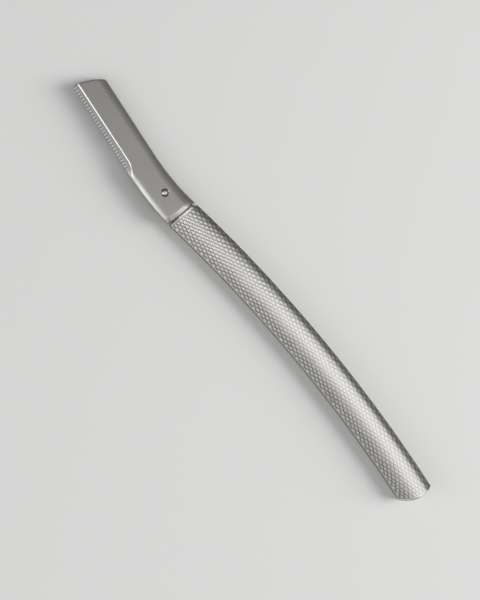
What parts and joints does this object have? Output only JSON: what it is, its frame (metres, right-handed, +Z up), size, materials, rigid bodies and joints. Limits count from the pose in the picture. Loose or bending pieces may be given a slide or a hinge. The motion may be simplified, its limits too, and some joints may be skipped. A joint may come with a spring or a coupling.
{
  "type": "eyebrow razor",
  "caption": "Slim metal eyebrow razor: a bowed handle with fine diamond knurling and a swing-out clamp head that holds a straight comb-guarded blade.",
  "frame": {"origin": "centre of the bounding box's base, with the razor lying on the flat back of its handle", "axes": "+X from the tail to the tip of the head, +Y towards the cutting edge, +Z up out of the knurled side"},
  "size_m": [0.1608, 0.016, 0.0059],
  "materials": {
    "satin_steel": "fine satin",
    "knurled_steel": "satin, with a fine diamond knurl",
    "polished_steel": "polished",
    "dark_steel": "plain rolled",
    "blade_steel": "fine ground"
  },
  "bodies": {
    "handle": {"handle_shell": "knurled_steel", "handle_back": "satin_steel", "stiffening_bar": "dark_steel", "handle_pins": "polished_steel", "neck_pin": "polished_steel", "head_cover": "satin_steel", "pivot_rivet": "polished_steel", "rivet_washer": "polished_steel", "spring_washer": "dark_steel"},
    "clamp": {"clamp_plate": "satin_steel", "blade_pegs": "polished_steel", "blade": "blade_steel", "skin_guard": "blade_steel"}
  },
  "joints": [
    {"name": "clamp_swing", "type": "hinge", "parent": "handle", "child": "clamp", "pos_m": [0.0381, 0.0024, 0.0015], "axis": [0, 0, 1], "range_deg": [0, 75]}
  ]
}
